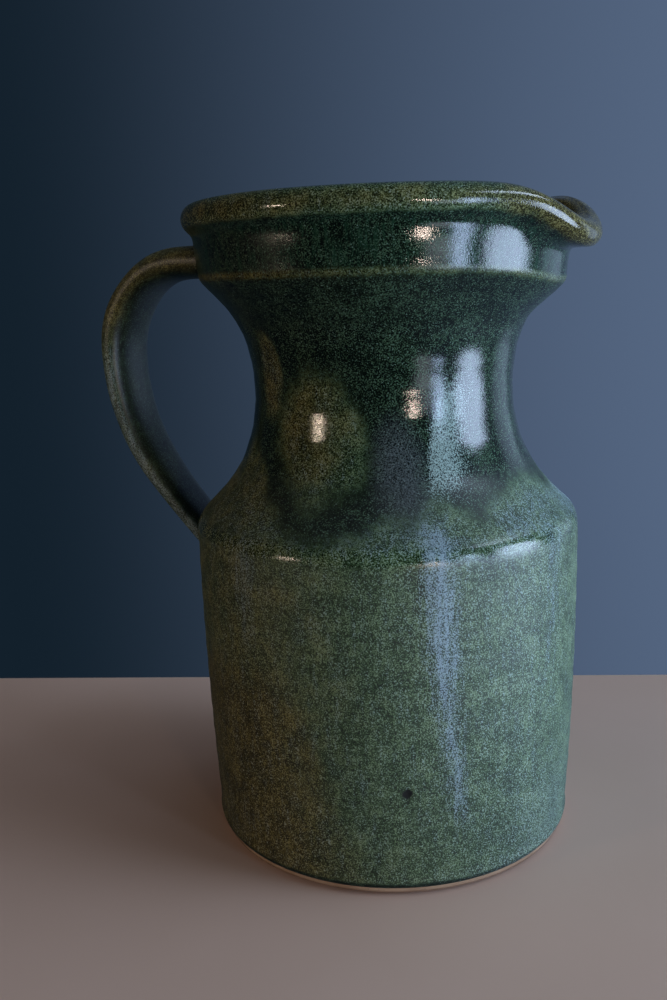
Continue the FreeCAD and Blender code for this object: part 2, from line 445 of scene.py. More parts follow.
def turned_grid(form: ThrownForm, line: Array, angles: Array, extra: Optional[Array] = None) -> Array:
    """Turns an outline about the axis and pulls it into the jug's hand-worked shape.

    Args:
        form: The thrown form whose pull is applied.
        line: The outline's (radius, height) points.
        angles: The angles of the grid's rows, in degrees.
        extra: How far each (angle, point) is moved out along the outline's normal, if at all.

    Returns:
        Points in millimetres shaped (angles, outline points, 3).
    """
    angle, radius = np.meshgrid(angles, line[:, 0], indexing="ij")
    height = np.broadcast_to(line[:, 1], radius.shape)
    if extra is not None:
        normal = normals_of(line)
        radius = radius + extra * normal[:, 0]
        height = height + extra * normal[:, 1]
    new_radius, new_height = form.pulled(radius, height, angle)
    turn = np.radians(angle)
    return np.stack([new_radius * np.cos(turn), new_radius * np.sin(turn), new_height], axis=-1)


def ring_angles(count: int) -> Array:
    """Evenly spaced angles once round, from -180 degrees, the last one left out."""
    return np.linspace(-180.0, 180.0, count, endpoint=False)


# ---------------------------------------------------------------- where each glaze lies


def periodic(points: Sequence[tuple[float, float]], angle: Array) -> Array:
    """A smooth line round the jug through (angle, value) points, by cosine easing."""
    knots = np.array([p[0] for p in points] + [points[0][0] + 360.0])
    values = np.array([p[1] for p in points] + [points[0][1]])
    at = (angle - knots[0]) % 360.0 + knots[0]
    span = np.clip(np.searchsorted(knots, at, side="right") - 1, 0, len(points) - 1)
    share = (at - knots[span]) / (knots[span + 1] - knots[span])
    eased = 0.5 - 0.5 * np.cos(np.pi * share)
    return values[span] * (1.0 - eased) + values[span + 1] * eased


def turned_from(angle: Array, middle: Union[float, Array]) -> Array:
    """How far round the jug an angle lies from a middle one, from -180 to 180 degrees."""
    return (angle - middle + 180.0) % 360.0 - 180.0


def wavering(angle: Array, height: Array, seed: float, scale: float) -> Array:
    """A gentle wandering field of a few sine waves, about -1 to 1, closed round the jug."""
    turn = np.radians(angle)
    a = np.sin(3 * turn + height / (9.0 * scale) + seed)
    b = np.sin(7 * turn - height / (6.0 * scale) + 2.1 * seed + a)
    c = np.sin(13 * turn + height / (3.5 * scale) + 0.7 * seed + b)
    return 0.5 * a + 0.3 * b + 0.2 * c


@dataclass(frozen=True)
class Patch:
    """An oval patch of glaze on the wall: its centre, half sizes in millimetres and lean."""

    angle: float
    height: float
    half_width: float
    half_height: float
    lean: float = 0.0
    radius: float = 44.0

    def depth(self, angle: Array, height: Array) -> Array:
        """How far inside the patch points lie: 1 - sqrt((x / a)^2 + (y / b)^2), x and y turned by the lean.

        Args:
            angle: Angles from +X in degrees.
            height: Heights above the foot in millimetres.

        Returns:
            1 at the patch's centre, 0 at its edge, then negative.
        """
        across = np.radians(turned_from(angle, self.angle)) * self.radius
        up = height - self.height
        turn = math.radians(self.lean)
        x = across * math.cos(turn) + up * math.sin(turn)
        y = up * math.cos(turn) - across * math.sin(turn)
        return 1.0 - np.sqrt((x / self.half_width) ** 2 + (y / self.half_height) ** 2)


def deepest(patches: Sequence[Patch], angle: Array, height: Array) -> Array:
    """How far inside any of several patches a point lies."""
    return np.max([patch.depth(angle, height) for patch in patches], axis=0)


@dataclass(frozen=True)
class Run:
    """A run of milky glaze down the wall, which narrows and fades towards its lower end."""

    angle: float
    top: float
    bottom: float
    half_width: float
    drift: float = 0.0
    strength: float = 1.0
    narrowing: float = 0.45
    fading: float = 0.32
    radius: float = 58.0

    def amount(self, angle: Array, height: Array) -> Array:
        """How much of the run lies at points: a lobe across it that narrows and fades downwards.

        Args:
            angle: Angles from +X in degrees.
            height: Heights above the foot in millimetres.

        Returns:
            The amount at each point, from 0 to the run's strength.
        """
        down = np.clip((self.top - height) / (self.top - self.bottom), -0.5, 1.5)
        middle = self.angle + self.drift * down + 0.6 * np.sin(height / 13.0)
        across = np.radians(turned_from(angle, middle)) * self.radius
        width = self.half_width * (1.0 - self.narrowing * np.clip(down, 0.0, 1.0))
        fade = 1.0 - self.fading * smoothstep(0.2, 0.6, down)
        return self.strength * lobe(across, 0.0, width, 2.4) * between(-0.08, 0.06, 0.80, 1.05, down) * fade


@dataclass(frozen=True)
class Flow:
    """A paler flow on the neck, sharp on its left edge and soft on its right.

    Its middle leans round the neck by some degrees for each millimetre up.
    """

    angle: float
    low: float
    high: float
    width: float
    lean: float = 0.30
    middle_height: float = 130.0
    radius: float = 42.0

    def amount(self, angle: Array, height: Array) -> Array:
        """How much of the flow lies at points: a steep step up, then a gentle one down.

        Args:
            angle: Angles from +X in degrees.
            height: Heights above the foot in millimetres.

        Returns:
            The amount at each point, from 0 to 1.
        """
        middle = self.angle + (height - self.middle_height) * self.lean
        across = np.radians(angle - middle) * self.radius
        ragged = across + 0.8 * wavering(angle, height, 1.0, 0.5)
        left = smoothstep(-self.width * 0.66, -self.width * 0.36, ragged)
        right = 1.0 - smoothstep(0.0, self.width * 1.1, across)
        return left * right * between(self.low - 6.0, self.low + 6.0, self.high - 14.0, self.high, height)


@dataclass(frozen=True)
class GlazeMap:
    """Where each glaze lies on the jug, as fields over the wall.

    Each method takes the points' angles from +X in degrees and their heights in
    millimetres, and gives back an amount from 0 to 1 at each point.
    """

    second_pour_edge: tuple[tuple[float, float], ...] = (
        (-180, 110), (-158, 118), (-138, 124), (-124, 120), (-110, 110), (-98, 104.5),
        (-87, 103.2), (-78, 104.5), (-70, 108), (-62, 107), (-52, 112), (-40, 108),
        (-28, 111), (-12, 115), (8, 109), (30, 118), (56, 106), (84, 112), (112, 104),
        (146, 116),
    )
    lap: float = 6.0
    thin_patches: tuple[Patch, ...] = (
        Patch(-95.0, 129.5, 15.5, 17.0, 12.0),
        Patch(-123.0, 146.0, 6.0, 13.0, -8.0),
        Patch(70.0, 134.0, 15.0, 12.0, -10.0),
    )
    mauve_patches: tuple[Patch, ...] = (
        Patch(-64.0, 120.0, 11.0, 19.0, 6.0),
        Patch(140.0, 122.0, 9.0, 10.0, -14.0),
    )
    pale_flows: tuple[Flow, ...] = (Flow(-43.5, 113.0, 150.0, 10.5), Flow(96.0, 110.0, 150.0, 12.0))
    painted_foot_light: float = 0.62
    painted_foot_light_angle: float = -14.0
    hot_side: float = -150.0
    runs: tuple[Run, ...] = (
        Run(-57.0, 104.0, 15.0, 4.8, 7.0, 0.88),
        Run(-113.0, 101.0, 68.0, 5.0, 2.0, 0.40),
        Run(-34.0, 106.0, 6.0, 20.0, 4.0, 0.08),
        Run(-16.0, 102.0, 60.0, 5.0, -2.0, 0.30),
        Run(22.0, 102.0, 40.0, 5.0, 4.0, 0.6),
        Run(75.0, 101.0, 66.0, 6.0, -4.0, 0.5),
        Run(118.0, 102.0, 34.0, 4.2, 3.0, 0.7),
        Run(168.0, 101.0, 72.0, 5.0, 2.0, 0.45),
    )

    def second_pour(self, angle: Array, height: Array) -> Array:
        """The darker coat: 0.5 at its lapped edge, 1 well inside, 0 well outside."""
        edge = periodic(self.second_pour_edge, angle)
        edge = edge + 1.2 * wavering(angle, np.zeros_like(height), 2.0, 1.0)
        hole = deepest(self.thin_patches, angle, height) + 0.22 * wavering(angle, height, 5.0, 1.6)
        return np.clip(0.5 + 0.5 * np.minimum((height - edge) / self.lap, -2.2 * hole), 0.0, 1.0)

    def pale_flow(self, angle: Array, height: Array) -> Array:
        """The paler flows on the neck, and a soft pale patch low on the foot's front that is painted light.
        """
        flows = sum(flow.amount(angle, height) for flow in self.pale_flows)
        # Painted light: a pale patch low on the foot's front, on the side towards the window lamps, stands in
        # for lamp light.
        foot = lobe(turned_from(angle, self.painted_foot_light_angle), 0.0, 34.0)
        foot = foot * (1.0 - smoothstep(8.0, 62.0, height))
        return np.clip(flows + self.painted_foot_light * foot, 0.0, 1.0)

    def mauve_haze(self, angle: Array, height: Array) -> Array:
        """Purplish-grey hazes where the two coats mixed."""
        return smoothstep(0.0, 0.75, deepest(self.mauve_patches, angle, height))

    def milk(self, angle: Array, height: Array) -> Array:
        """The milky runs and the veil they leave on the shoulder, which is stronger, as partly painted sheen,
        on the side that faces the window lamps.
        """
        runs = sum(run.amount(angle, height) for run in self.runs)
        veil = between(98.0, 103.0, 104.0, 116.0, height) * (0.5 + 0.5 * wavering(angle, height, 3.3, 1.2))
        # Painted sheen: the veil is made stronger on the side that faces the window lamps.
        painted_sheen_side = 0.35 + 0.65 * between(-100.0, -50.0, 20.0, 80.0, angle)
        return np.clip(runs + 0.75 * veil * painted_sheen_side, 0.0, 1.0)

    def olive(self, angle: Array, height: Array) -> Array:
        """Where the green coat lies thin or caught more heat, and turns olive brown.

        It adds up the hot side, a ragged band low on that side, the ridge and the thin
        patches, each by its own share.
        """
        warm = 0.5 + 0.5 * np.cos(np.radians(angle - self.hot_side))
        side = smoothstep(0.55, 0.95, warm + 0.07 * wavering(angle, height, 1.7, 1.6))
        edge = 14.0 + 46.0 * smoothstep(0.62, 0.86, warm) + 7.0 * wavering(angle, height * 0.3, 4.0, 1.0)
        low = (1.0 - smoothstep(edge - 9.0, edge + 9.0, height)) * smoothstep(0.45, 0.85, warm)
        ridge = lobe(height, 172.6, 2.4)
        caught = smoothstep(-0.15, 0.45, deepest(self.thin_patches, angle, height))
        return np.clip(0.50 * side + 0.50 * low + 0.40 * ridge + 0.26 * caught, 0.0, 1.0)


# ---------------------------------------------------------------- materials


class Step(Enum):
    """What a node does: its type, its settings, the sockets it is given in order, its output."""

    TIMES = ("Math", {"operation": "MULTIPLY"}, (0, 1), 0)
    PLUS = ("Math", {"operation": "ADD"}, (0, 1), 0)
    LESS = ("Math", {"operation": "SUBTRACT"}, (0, 1), 0)
    BLEND = ("Mix", {"data_type": "RGBA"}, (0, 6, 7), 2)
    RAMP = ("MapRange", {"interpolation_type": "SMOOTHSTEP"}, (0, 1, 2), 0)
    SPREAD = ("MapRange", {}, (0, 3, 4), 0)
    NOISE = ("TexNoise", {}, ("Vector", "Scale", "Detail", "Roughness"), 0)
    PLACE = ("TexCoord", {}, (), "Object")
    SKYWARD = ("TexCoord", {}, (), "Generated")
    STRETCH = ("Mapping", {}, ("Vector", "Scale"), 0)
    HEIGHT = ("SeparateXYZ", {}, (0,), "Z")
    FACING = ("VectorMath", {"operation": "DOT_PRODUCT"}, (0, 1), "Value")
    FIELD = ("Attribute", {}, (), "Fac")
    BUMP = ("Bump", {}, ("Height", "Strength", "Distance"), 0)
    SURFACE = ("BsdfPrincipled", {}, ("Base Color", "Roughness", "Normal", "IOR"), 0)
    GLOW = ("Background", {}, ("Color",), 0)
    MATERIAL_OUTPUT = ("OutputMaterial", {}, ("Surface",), None)
    WORLD_OUTPUT = ("OutputWorld", {}, ("Surface",), None)


class NodeTree:
    """The emptied node tree of a material or a world, with one method that adds to it."""

    def __init__(self, owner: Union[bpy.types.Material, bpy.types.World]) -> None:
        """Empties the owner's tree."""
        owner.use_nodes = True
        self.owner = owner
        self.tree = owner.node_tree
        self.tree.nodes.clear()

    def add(self, step: Step, *inputs: object, **settings: object) -> Optional[bpy.types.NodeSocket]:
        """Adds a node, sets its properties, and fills or links its inputs.

        Args:
            step: What the node does.
            inputs: For each of the step's sockets a value, or an output socket to link.
            settings: Properties of the node itself, beyond the step's own.

        Returns:
            The step's output socket, if it has one.
        """
        kind, fixed, sockets, output = step.value
        node = self.tree.nodes.new("ShaderNode" + kind)
        for key, value in {**fixed, **settings}.items():
            setattr(node, key, value)
        for key, value in zip(sockets, inputs):
            if isinstance(value, bpy.types.NodeSocket):
                self.tree.links.new(value, node.inputs[key])
            else:
                node.inputs[key].default_value = value
        return None if output is None else node.outputs[output]

    def finish(self, *inputs: object) -> bpy.types.Material:
        """Adds the surface and the output, and gives back the material."""
        self.add(Step.MATERIAL_OUTPUT, self.add(Step.SURFACE, *inputs))
        return self.owner


def per_metre(size_mm: float) -> float:
    """The scale of a noise whose lumps are about a size across, on coordinates in metres."""
    return 1.0 / (size_mm * MM)


class Field(Enum):
    """Names of the numbers that the glaze meshes carry. One that a mesh leaves out is 0."""

    SECOND_POUR = "second_pour"
    PALE = "pale_flow"
    MAUVE = "mauve_haze"
    MILK = "milk"
    OLIVE = "olive"
    THIN = "thin_edge"
    STREAK = "streak_band"
    SPOT = "iron_spot"
    GLOSS = "gloss_band"


@dataclass(frozen=True)
class ReducedGlaze:
    """A reduction-fired iron glaze on stoneware: satin mid green, finely speckled.

    It breaks to olive brown where it lies thin over edges, and a second, glossier coat
    on the neck pools to bottle green. Milky runs come down from the shoulder. To the eye
    it is a soft, grainy green that turns wet and dark wherever the second coat lies.
    """

    name: str
    speckle_mm: float = 0.38
    mottle_mm: float = 1.5
    streak_mm: float = 1.5
    blotch_mm: float = 7.0
    drawn_out: float = 0.14
    satin: float = 0.54
    gloss: float = 0.08
    index: float = 1.52

    def material(self) -> bpy.types.Material:
        """Builds the glaze's material from its fields and its fired speckle."""
        tree = NodeTree(bpy.data.materials.new(self.name))
        add = tree.add
        lies = {name: add(Step.FIELD, attribute_name=name.value) for name in Field}
        where = add(Step.PLACE)

        # Fleck is crystals and iron specks under half a millimetre across. Mottle and blotch
        # are slower changes of thickness, and streaks are the same drawn out down the wall.
        fleck = add(Step.NOISE, where, per_metre(self.speckle_mm), 2.0, 0.55)
        mottle = add(Step.NOISE, where, per_metre(self.mottle_mm), 2.0, 0.6)
        blotch = add(Step.NOISE, where, per_metre(self.blotch_mm), 3.0, 0.55)
        drawn = add(Step.STRETCH, where, (1.0, 1.0, self.drawn_out))
        streak = add(Step.NOISE, drawn, per_metre(self.streak_mm), 3.0, 0.6)
        grit = add(Step.LESS, fleck, 0.5)
        cloud = add(Step.TIMES, add(Step.LESS, blotch, 0.5), 0.8)
        uneven = add(Step.TIMES, add(Step.PLUS, blotch, mottle), 0.25)
        mottled = add(Step.PLUS, fleck, add(Step.LESS, uneven, 0.25))

        # The first coat: green, and olive brown where it is thin or caught more heat.
        bright = add(Step.TIMES, add(Step.RAMP, mottled, 0.47, 0.66), 0.90)
        dark = add(Step.TIMES, add(Step.RAMP, mottled, 0.50, 0.34), 0.90)
        green = add(Step.BLEND, bright, linear(Hue.MID_GREEN), linear(Hue.LIGHT_FLECK))
        green = add(Step.BLEND, dark, green, linear(Hue.DARK_FLECK))
        olive = add(Step.BLEND, bright, linear(Hue.OLIVE), linear(Hue.OLIVE_FLECK))
        olive = add(Step.BLEND, dark, olive, linear(Hue.OLIVE_DARK))
        warmth = add(Step.PLUS, lies[Field.OLIVE], cloud)
        colour = add(Step.BLEND, add(Step.RAMP, warmth, 0.0, 1.0), green, olive)

        # Milky runs, frayed along the streaks and broken into grains. The same milky colour is painted sheen
        # on the handle's lower edges and, in part, on the shoulder's side towards the window lamps.
        frayed = add(Step.TIMES, add(Step.LESS, add(Step.PLUS, fleck, streak), 1.0), 1.4)
        frayed = add(Step.PLUS, frayed, add(Step.TIMES, grit, 2.2))
        milk = add(Step.RAMP, add(Step.PLUS, lies[Field.MILK], frayed), 0.15, 1.25)

        # The second pour: nearly black green, with green flecks, and streaks on the collar. On the handle's
        # inner face the same dark is painted shade.
        pool = add(Step.PLUS, lies[Field.SECOND_POUR], add(Step.TIMES, grit, 1.5))
        poured = add(Step.RAMP, pool, 0.36, 0.66)
        bottle_fleck = add(Step.TIMES, add(Step.RAMP, mottled, 0.48, 0.66), 0.55)
        bottle = add(Step.BLEND, bottle_fleck, linear(Hue.BOTTLE), linear(Hue.BOTTLE_FLECK))
        bands = add(Step.TIMES, lies[Field.STREAK], add(Step.RAMP, streak, 0.42, 0.68))
        bottle = add(Step.BLEND, add(Step.TIMES, bands, 0.8), bottle, linear(Hue.BOTTLE_STREAK))

        # Mauve haze, pale flow with a pale patch of painted light low on the foot's front, the thin glaze
        # over edges, and the burst iron spot.
        haze = add(Step.TIMES, lies[Field.MAUVE], add(Step.RAMP, fleck, 0.30, 0.66))
        pale = add(Step.RAMP, add(Step.PLUS, lies[Field.PALE], add(Step.TIMES, grit, 3.4)), 0.40, 1.35)
        thin = add(Step.RAMP, add(Step.PLUS, lies[Field.THIN], add(Step.TIMES, cloud, 0.8)), 0.2, 0.9)
        spot = add(Step.RAMP, lies[Field.SPOT], 0.05, 0.40)
        for share, strength, over in (
            (milk, 0.80, linear(Hue.MILK)),
            (poured, 0.92, bottle),
            (haze, 0.90, linear(Hue.MAUVE_GREY)),
            (pale, 0.90, linear(Hue.PALE_GREEN)),
            (thin, 0.85, olive),
            (spot, 1.00, linear(Hue.IRON)),
        ):
            colour = add(Step.BLEND, add(Step.TIMES, share, strength), colour, over)

        rough = add(Step.SPREAD, lies[Field.GLOSS], self.satin, self.gloss)
        rough = add(Step.PLUS, rough, add(Step.TIMES, grit, 0.08))
        waves = add(Step.PLUS, add(Step.TIMES, blotch, 0.8), add(Step.TIMES, mottle, 0.3))
        relief = add(Step.PLUS, waves, add(Step.TIMES, fleck, 0.45))
        bump = add(Step.BUMP, relief, 0.30, 0.25 * MM)
        return tree.finish(colour, rough, bump, self.index)


@dataclass(frozen=True)
class BareStoneware:
    """Unglazed stoneware: buff, fine-grained and dry, and darker brown over the foot's lowest millimetre and
    a half.

    To the eye it is a matt, sandy line under the shine of the glaze.
    """

    name: str
    grog_mm: float = 0.9
    cloud_mm: float = 14.0
    darker_below_mm: tuple[float, float] = (1.5, 0.5)
    roughness: float = 0.82

    def material(self) -> bpy.types.Material:
        """Builds the clay's material: sandy grain, dark grog specks and a darker brown band at the bottom."""
        tree = NodeTree(bpy.data.materials.new(self.name))
        add = tree.add
        where = add(Step.PLACE)
        grain = add(Step.NOISE, where, per_metre(self.grog_mm), 4.0, 0.7)
        cloud = add(Step.NOISE, where, per_metre(self.cloud_mm), 3.0, 0.5)
        colour = add(Step.RAMP, cloud, 0.3, 0.7)
        colour = add(Step.BLEND, colour, linear(Hue.BUFF_CLAY), linear(Hue.BUFF_SHADE))
        colour = add(Step.BLEND, add(Step.RAMP, grain, 0.62, 0.74), colour, linear(Hue.GROG))
        # Darker brown below 1.5 mm, fully so below 0.5 mm.
        upper, lower = self.darker_below_mm
        darker_below = add(Step.RAMP, add(Step.HEIGHT, where), upper * MM, lower * MM)
        colour = add(Step.BLEND, add(Step.TIMES, darker_below, 0.75), colour, linear(Hue.FOOT_BOTTOM_BROWN))
        bump = add(Step.BUMP, grain, 0.5, 0.2 * MM)
        return tree.finish(colour, self.roughness, bump)


@dataclass(frozen=True)
class PlainPaint:
    """A matt painted studio floor with a trace of mottling, which the eye passes over."""

    name: str
    cloud_mm: float = 60.0
    roughness: float = 0.7

    def material(self) -> bpy.types.Material:
        """Builds the floor's material."""
        tree = NodeTree(bpy.data.materials.new(self.name))
        cloud = tree.add(Step.NOISE, tree.add(Step.PLACE), per_metre(self.cloud_mm), 3.0, 0.5)
        colour = tree.add(Step.BLEND, cloud, linear(Hue.FLOOR), linear(Hue.FLOOR_SHADE))
        return tree.finish(colour, self.roughness)


def dress(piece: bpy.types.Object, material: bpy.types.Material, slot: Slot) -> None:
    """Gives a piece its material, and lets it ride on the jug's body."""
    piece.data.materials.clear()
    piece.data.materials.append(material)
    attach(piece, BODY)


# ---------------------------------------------------------------- the jug's pieces


@dataclass
class ClayBody:
    """The thrown clay under the glaze, bare at the foot."""

    form: ThrownForm
    rows: int = 256
    base_columns: int = 26
    outside_columns: int = 130
    inside_columns: int = 100

    def build(self) -> bpy.types.Object:
        """One closed surface from the middle of the base over the rim to the floor."""
        foot, bevel = self.form.foot_radius, self.form.foot_bevel
        base = straight((POLE, 0.0), (foot, 0.0))
        chamfer = straight((foot, 0.0), (foot + bevel, bevel))
        under = np.vstack([base, chamfer[1:-1]])
        line = np.vstack(
            [
                resampled(under, self.base_columns),
                resampled(self.form.outside(), self.outside_columns)[1:],
                resampled(self.form.inside(), self.inside_columns)[1:],
            ]
        )
        grid = turned_grid(self.form, line, ring_angles(self.rows))
        return mesh_from_grid("clay_body", grid, True, False, True, True)

    def dress(self, piece: bpy.types.Object, clay: bpy.types.Material) -> None:
        """Gives the body its bare clay, in place of the plain thrown body."""
        dress(piece, clay, Slot.CLAY)
        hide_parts("thrown_body")


@dataclass
class OuterCoat:
    """The green coat and its darker second pour, from the foot over the rim into the mouth."""

    form: ThrownForm
    glaze_map: GlazeMap
    rows: int = 400
    columns: int = 205
    back_columns: int = 30
    thickness: float = 0.55
    start_height: float = 2.1
    roll: float = 0.75
    pour_swell: float = 0.22
    milk_swell: float = 0.10
    spot_depth: float = 0.45
    mouth_depth: float = 20.0
    spot_angle: float = -64.8
    spot_height: float = 32.4
    spot_radius: float = 2.0

    def outline(self) -> Array:
        """The clay's outline that the coat covers, from the foot over the rim.

        Its points lie closer together at the foot, the shoulder's edge, the collar and the rim.
        """
        outside = self.form.outside()
        outside = outside[outside[:, 1] > self.start_height]
        inside = self.form.inside()
        inside = inside[inside[:, 1] > self.form.rim_top[1] - self.mouth_depth]
        line = np.vstack([outside, inside[1:]])
        close = 1.0 + 2.2 * smoothstep(170.0, 176.0, line[:, 1])
        close = close + 1.5 * (1.0 - smoothstep(2.5, 9.0, line[:, 1]))
        close = close + 1.2 * lobe(line[:, 1], self.form.shoulder_height, 4.0)
        return resampled(line, self.columns, close)

    def build(self) -> bpy.types.Object:
        """The coat as one closed skin: its fired face and its thin back on the clay."""
        line = self.outline()
        angles = ring_angles(self.rows)
        length = arc_length(line)
        angle, along = np.meshgrid(angles, length, indexing="ij")
        height = np.broadcast_to(line[:, 1], angle.shape)
        inside = along > length[np.argmax(line[:, 1])]
        spot = self.spot(angle, height)
        front = turned_grid(self.form, line, angles, self.swell(angle, height, along, inside, spot))
        back_line = line[::-1][:: max(1, len(line) // self.back_columns)][1:-1]
        back = turned_grid(self.form, back_line, angles, np.full((len(angles), len(back_line)), -TUCK))
        grid = np.concatenate([front, back], axis=1)
        piece = mesh_from_grid("green_coat", grid, True, True)
        self.write_fields(piece, angle, height, inside, spot, len(back_line))
        return piece

    def swell(self, angle: Array, height: Array, along: Array, inside: Array, spot: Array) -> Array:
        """How thick the coat lies, in millimetres.

        It starts at the foot as a quarter round with a bead above it. The second pour and
        the milky runs stand proud of the first coat, and the iron spot is a hollow.

        Args:
            angle: Angles from +X in degrees.
            height: Heights of the clay above the foot.
            along: Distances along the outline from its start at the foot.
            inside: Whether a point is past the rim's top.
            spot: How far inside the iron spot a point lies.

        Returns:
            The thickness at each point.
        """
        pour = self.glaze_map.second_pour(angle, height) * ~inside
        edge = np.clip(along / (2.2 * self.roll), 0.0, 1.0)
        thick = (self.thickness + self.pour_swell * smoothstep(0.4, 0.7, pour)) * np.sqrt(edge * (2.0 - edge))
        thick = thick + self.roll * 0.55 * lobe(along, 1.9, 1.1)
        thick = thick + self.milk_swell * self.glaze_map.milk(angle, height) * ~inside
        return thick - self.spot_depth * np.exp(-(((1.0 - spot) * 2.2) ** 2)) * (spot > 0.0)

    def gloss(self, angle: Array, height: Array, rim: Array) -> Array:
        """How wet the fired face looks: glossy on the shoulder's edge, neck and collar.

        The flare under the ridge and the handle's side of the collar are less so, as the
        pour is thin there.

        Args:
            angle: Angles from +X in degrees.
            height: Heights above the foot.
            rim: How near the rim's crest each point lies, from 0 to 1.

        Returns:
            0 where the face is satin to 1 where it is glossy.
        """
        edge = lobe(height, self.form.shoulder_height - 0.6, 2.4)
        neck = smoothstep(108.0, 124.0, height) * (1.0 - 0.45 * smoothstep(148.0, 160.0, height))
        away = smoothstep(0.15, 0.65, np.cos(np.radians(angle + 30.0)))
        collar = smoothstep(172.0, 174.5, height) * np.maximum(rim, 0.25 + 0.75 * away)
        return np.clip(np.maximum(edge, np.maximum(neck, collar)), 0.0, 1.0)

    def spot(self, angle: Array, height: Array) -> Array:
        """A burst iron spot: 1 at its middle, 0 at its edge and beyond."""
        across = np.radians(angle - self.spot_angle) * self.form.belly_radius
        return np.clip(1.0 - np.hypot(across, height - self.spot_height) / self.spot_radius, 0.0, 1.0)

    def write_fields(
        self, piece: bpy.types.Object, angle: Array, height: Array, inside: Array, spot: Array, back: int
    ) -> None:
        """Writes where each glaze lies, and how thin it runs over the edges, on the mesh.

        Args:
            piece: The coat.
            angle: Angles from +X in degrees at the fired face's points.
            height: Heights of the clay there.
            inside: Whether they are past the rim's top.
            spot: How far inside the iron spot they lie.
            back: How many columns of hidden back follow each row.
        """
        lies = self.glaze_map
        rim = lobe(height, 190.2, 3.4) * smoothstep(185.6, 187.6, height)
        shoulder = lobe(height, self.form.shoulder_height, 1.1)
        lip = lobe(angle, 0.0, 34.0, 4.0) * smoothstep(184.0, 186.5, height)
        ridge = lobe(height, self.form.ridge_height + 0.7, 1.5)
        foot_line = 0.75 * lobe(height, 3.2, 1.3)
        second = lies.second_pour(angle, height) * (1.0 - smoothstep(186.0, 188.6, height)) * ~inside
        fields = {
            Field.SECOND_POUR: np.maximum(second * (1.0 - 0.7 * ridge), foot_line),
            Field.PALE: lies.pale_flow(angle, height) * ~inside,
            Field.MAUVE: lies.mauve_haze(angle, height) * ~inside,
            Field.MILK: lies.milk(angle, height) * ~inside,
            Field.OLIVE: np.maximum(lies.olive(angle, height), 0.8 * np.maximum(inside, lip)),
            Field.THIN: np.clip(0.62 * rim + 0.12 * shoulder + 0.5 * inside + 0.5 * lip, 0.0, 1.0),
            Field.STREAK: between(173.0, 175.0, 186.0, 188.5, height) * ~inside,
            Field.SPOT: spot,
            Field.GLOSS: self.gloss(angle, height, rim),
        }
        for name, values in fields.items():
            add_field(piece, name.value, np.pad(values.astype(float), ((0, 0), (0, back)), mode="edge"))

    def dress(self, piece: bpy.types.Object, glaze: bpy.types.Material) -> None:
        """Glazes the coat, in place of the plain coat and its second pour."""
        dress(piece, glaze, Slot.GREEN)
        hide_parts("outer_glaze", "second_pour_glaze")


@dataclass
class LinerCoat:
    """The liner glaze inside, from the mouth down over the floor."""

    form: ThrownForm
    rows: int = 240
    columns: int = 120
    back_columns: int = 40
    thickness: float = 0.4
    mouth_depth: float = 19.0
    warm_from: float = 120.0
    warm_to: float = 172.0

    def build(self) -> bpy.types.Object:
        """The liner as one closed skin with a pole at the floor's middle on each face.

        It is olive brown at the mouth, where it meets the outer coat, and greener below.
        """
        line = self.form.inside()
        line = line[line[:, 1] < self.form.rim_top[1] - self.mouth_depth]
        face = resampled(line, self.columns)
        angles = ring_angles(self.rows)
        shape = (len(angles), len(face))
        front = turned_grid(self.form, face, angles, np.full(shape, self.thickness))
        behind = resampled(line, self.back_columns)[::-1]
        back = turned_grid(self.form, behind, angles, np.full((len(angles), len(behind)), -TUCK))
        grid = np.concatenate([back, front], axis=1)
        piece = mesh_from_grid("liner_coat", grid, True, False, True, True)
        warmth = smoothstep(self.warm_from, self.warm_to, np.concatenate([behind[:, 1], face[:, 1]]))
        warmth = np.broadcast_to(warmth, (len(angles), len(warmth)))
        add_field(piece, Field.OLIVE.value, 0.35 + 0.45 * warmth)
        add_field(piece, Field.THIN.value, 0.5 * warmth)
        add_field(piece, Field.GLOSS.value, 0.6 + 0.4 * warmth)
        return piece

    def dress(self, piece: bpy.types.Object, glaze: bpy.types.Material) -> None:
        """Glazes the liner, in place of the plain one."""
        dress(piece, glaze, Slot.LINER)
        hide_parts("liner_glaze")


